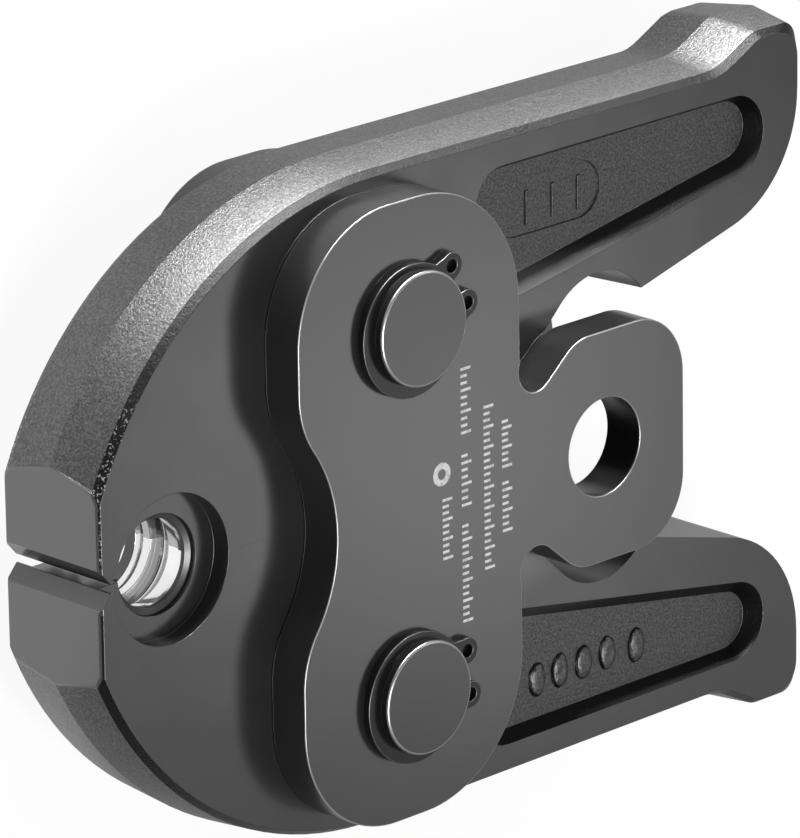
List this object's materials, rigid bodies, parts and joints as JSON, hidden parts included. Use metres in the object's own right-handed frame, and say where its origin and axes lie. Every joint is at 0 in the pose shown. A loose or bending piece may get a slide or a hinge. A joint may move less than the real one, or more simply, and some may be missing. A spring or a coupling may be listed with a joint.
{
  "type": "press fitting tool jaw",
  "caption": "Two forged pressing jaws on pivot pins between T-shaped side plates, with a stepped press profile and tails driven apart by rollers.",
  "frame": {"origin": "axis of the tool pin bore at mid-thickness of the jaws", "axes": "+X from the nose to the tails, +Y towards the upper jaw, +Z towards the front side plate"},
  "size_m": [0.1359, 0.1012, 0.0368],
  "materials": {
    "forged_steel": "phosphated, satin faces and rough forged edges",
    "plate_steel": "phosphated satin",
    "pin_steel": "blackened satin",
    "ring_steel": "blackened",
    "spring_steel": "plain drawn wire"
  },
  "bodies": {
    "side_plates": {"front_side_plate": "plate_steel", "back_side_plate": "plate_steel", "upper_pivot_pin": "pin_steel", "lower_pivot_pin": "pin_steel", "upper_front_ring": "ring_steel", "lower_front_ring": "ring_steel", "upper_back_ring": "ring_steel", "lower_back_ring": "ring_steel", "return_spring": "spring_steel"},
    "upper_jaw_body": {"upper_jaw": "forged_steel"},
    "lower_jaw_body": {"lower_jaw": "forged_steel"}
  },
  "joints": [
    {"name": "upper_jaw_pivot", "type": "hinge", "parent": "side_plates", "child": "upper_jaw_body", "pos_m": [-0.0371, 0.0261, 0], "axis": [0, 0, -1], "range_deg": [0, 14], "stiffness_Nm_per_rad": 0.6, "springref_deg": -11.46, "deforming": ["return_spring"]},
    {"name": "lower_jaw_pivot", "type": "hinge", "parent": "side_plates", "child": "lower_jaw_body", "pos_m": [-0.0371, -0.0261, 0], "axis": [0, 0, 1], "range_deg": [0, 14], "stiffness_Nm_per_rad": 0.6, "springref_deg": -11.46, "deforming": ["return_spring"]}
  ]
}
